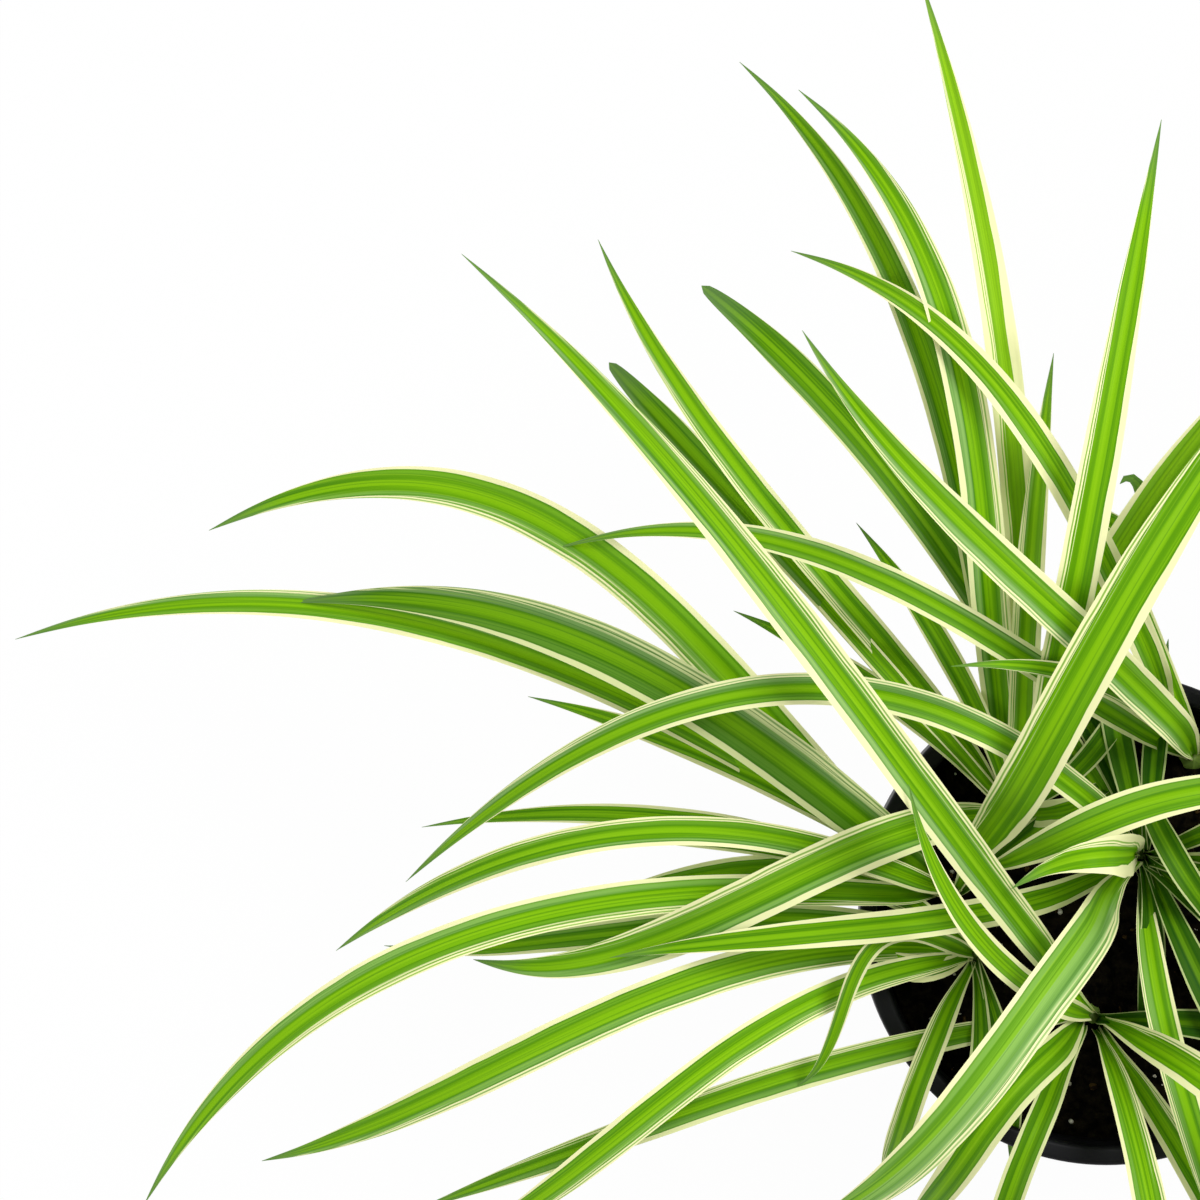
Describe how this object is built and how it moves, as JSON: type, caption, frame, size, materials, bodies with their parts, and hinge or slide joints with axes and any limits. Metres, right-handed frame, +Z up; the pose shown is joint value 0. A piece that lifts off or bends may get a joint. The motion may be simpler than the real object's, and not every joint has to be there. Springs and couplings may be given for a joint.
{
  "type": "potted spider plant",
  "caption": "Variegated spider plant with long arching striped leaves, growing in a round black nursery pot.",
  "frame": {"origin": "middle of the pot's underside", "axes": "+Z up along the pot's axis; the picture looks along -Z with +X to its right and +Y to its top"},
  "size_m": [0.522, 0.4284, 0.1996],
  "materials": {
    "pot_plastic": "satin black moulded polypropylene",
    "soil": "damp dark potting mix with white perlite and bits of bark",
    "crown": "pale yellow-green living tissue, satin",
    "leaf": "living leaf, green middle with fine lengthwise veins and cream margins, satin"
  },
  "bodies": {
    "root": {"pot": "pot_plastic", "soil": "soil", "crown_left": "crown", "crown_back_left": "crown", "crown_front_left": "crown", "crown_front": "crown", "crown_middle": "crown", "crown_back_right": "crown", "crown_right": "crown", "leaf_left_1": "leaf", "leaf_left_2": "leaf", "leaf_left_3": "leaf", "leaf_left_4": "leaf", "leaf_left_5": "leaf", "leaf_left_6": "leaf", "leaf_left_7": "leaf", "leaf_back_left_1": "leaf", "leaf_back_left_2": "leaf", "leaf_back_left_3": "leaf", "leaf_back_left_4": "leaf", "leaf_back_left_5": "leaf", "leaf_back_left_6": "leaf", "leaf_back_left_7": "leaf", "leaf_back_left_8": "leaf", "leaf_back_left_9": "leaf", "leaf_back_left_10": "leaf", "leaf_front_left_1": "leaf", "leaf_front_left_2": "leaf", "leaf_front_left_3": "leaf", "leaf_front_left_4": "leaf", "leaf_front_left_5": "leaf", "leaf_front_left_6": "leaf", "leaf_front_1": "leaf", "leaf_front_2": "leaf", "leaf_front_3": "leaf", "leaf_front_4": "leaf", "leaf_front_5": "leaf", "leaf_front_6": "leaf", "leaf_front_7": "leaf", "leaf_front_8": "leaf", "leaf_middle_1": "leaf", "leaf_middle_2": "leaf", "leaf_middle_3": "leaf", "leaf_middle_4": "leaf", "leaf_middle_5": "leaf", "leaf_middle_6": "leaf", "leaf_middle_7": "leaf", "leaf_back_right_1": "leaf", "leaf_back_right_2": "leaf", "leaf_back_right_3": "leaf", "leaf_back_right_4": "leaf", "leaf_back_right_5": "leaf", "leaf_back_right_6": "leaf", "leaf_back_right_7": "leaf", "leaf_right_1": "leaf", "leaf_right_2": "leaf", "leaf_right_3": "leaf", "leaf_right_4": "leaf", "leaf_right_5": "leaf", "leaf_right_6": "leaf"}
  },
  "joints": []
}
